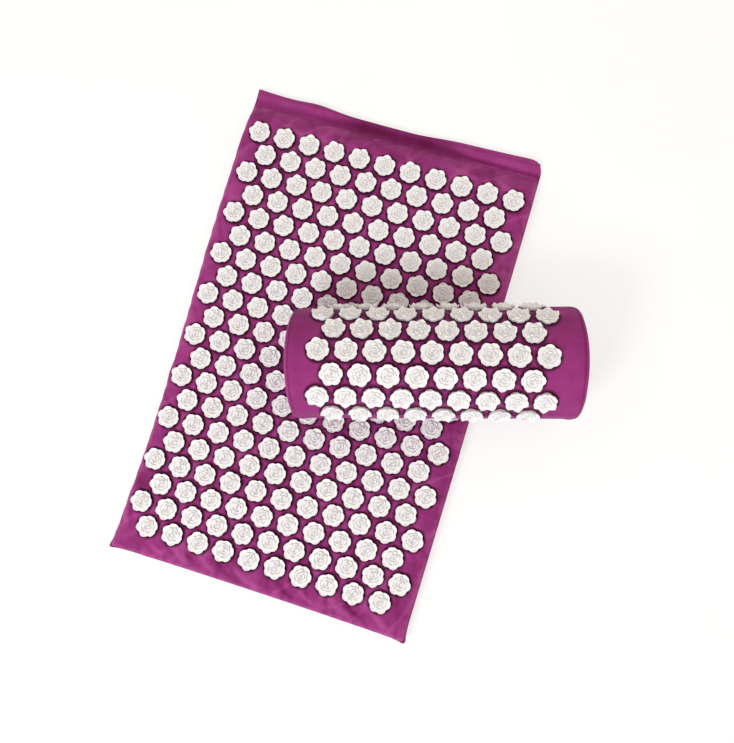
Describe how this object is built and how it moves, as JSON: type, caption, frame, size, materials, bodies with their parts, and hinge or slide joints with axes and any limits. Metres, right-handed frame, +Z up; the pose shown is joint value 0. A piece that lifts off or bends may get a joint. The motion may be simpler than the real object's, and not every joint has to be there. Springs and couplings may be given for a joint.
{
  "type": "acupressure mat and neck pillow",
  "caption": "Acupressure mat with a half-round neck pillow: foam in sewn cotton covers with staggered rows of spiked six-lobed plastic rosettes, a hook-and-loop closure and a zip.",
  "frame": {"origin": "middle of the flat underside of the mat, on the floor", "axes": "+Z up, +Y along the mat's length towards the closure flap, +X across the mat towards the side that the pillow overhangs"},
  "size_m": [0.5374, 0.664, 0.1373],
  "materials": {
    "mat_cotton": "plain-woven cotton, magenta purple",
    "pillow_cotton": "plain-woven cotton, magenta purple",
    "disc_plastic": "white moulded ABS",
    "foam": "open-cell polyurethane foam",
    "hook_tape": "woven nylon with stiff hooks",
    "loop_tape": "brushed nylon loops",
    "zip_tape": "woven polyester tape with a nylon tooth bead",
    "zip_metal": "nickel-plated zinc casting"
  },
  "bodies": {
    "mat": {"mat_bottom_panel": "mat_cotton", "mat_top_panel": "mat_cotton", "mat_foam": "foam", "closure_loop_strip": "loop_tape"},
    "closure_flap": {"closure_flap": "mat_cotton", "closure_hook_strip": "hook_tape"},
    "pillow": {"pillow_foam": "foam", "pillow_wrap_panel": "pillow_cotton", "pillow_base_panel": "pillow_cotton", "pillow_end_left": "pillow_cotton", "pillow_end_right": "pillow_cotton", "zip_tape_upper": "zip_tape", "zip_tape_lower": "zip_tape", "zip_stop_left": "zip_metal", "zip_stop_right": "zip_metal"},
    "zip_slider": {"zip_slider": "zip_metal"},
    "zip_pull": {"zip_pull": "zip_metal"}
  },
  "joints": [
    {"name": "pillow_lift", "type": "slide", "parent": "mat", "child": "pillow", "axis": [0, 0, 1], "range_m": [0, 0.25]},
    {"name": "closure_flap_hinge", "type": "hinge", "parent": "mat", "child": "closure_flap", "pos_m": [0, 0.3078, 0.0053], "axis": [1, 0, 0], "range_deg": [0, 80]},
    {"name": "zip_slide", "type": "slide", "parent": "pillow", "child": "zip_slider", "axis": [-0.9581, -0.2865, 0], "range_m": [0, 0.2824]},
    {"name": "zip_pull_hinge", "type": "hinge", "parent": "zip_slider", "child": "zip_pull", "pos_m": [0.25584, 0.13469, 0.05015], "axis": [0.0351, -0.1174, -0.9925], "range_deg": [0, 150]}
  ]
}
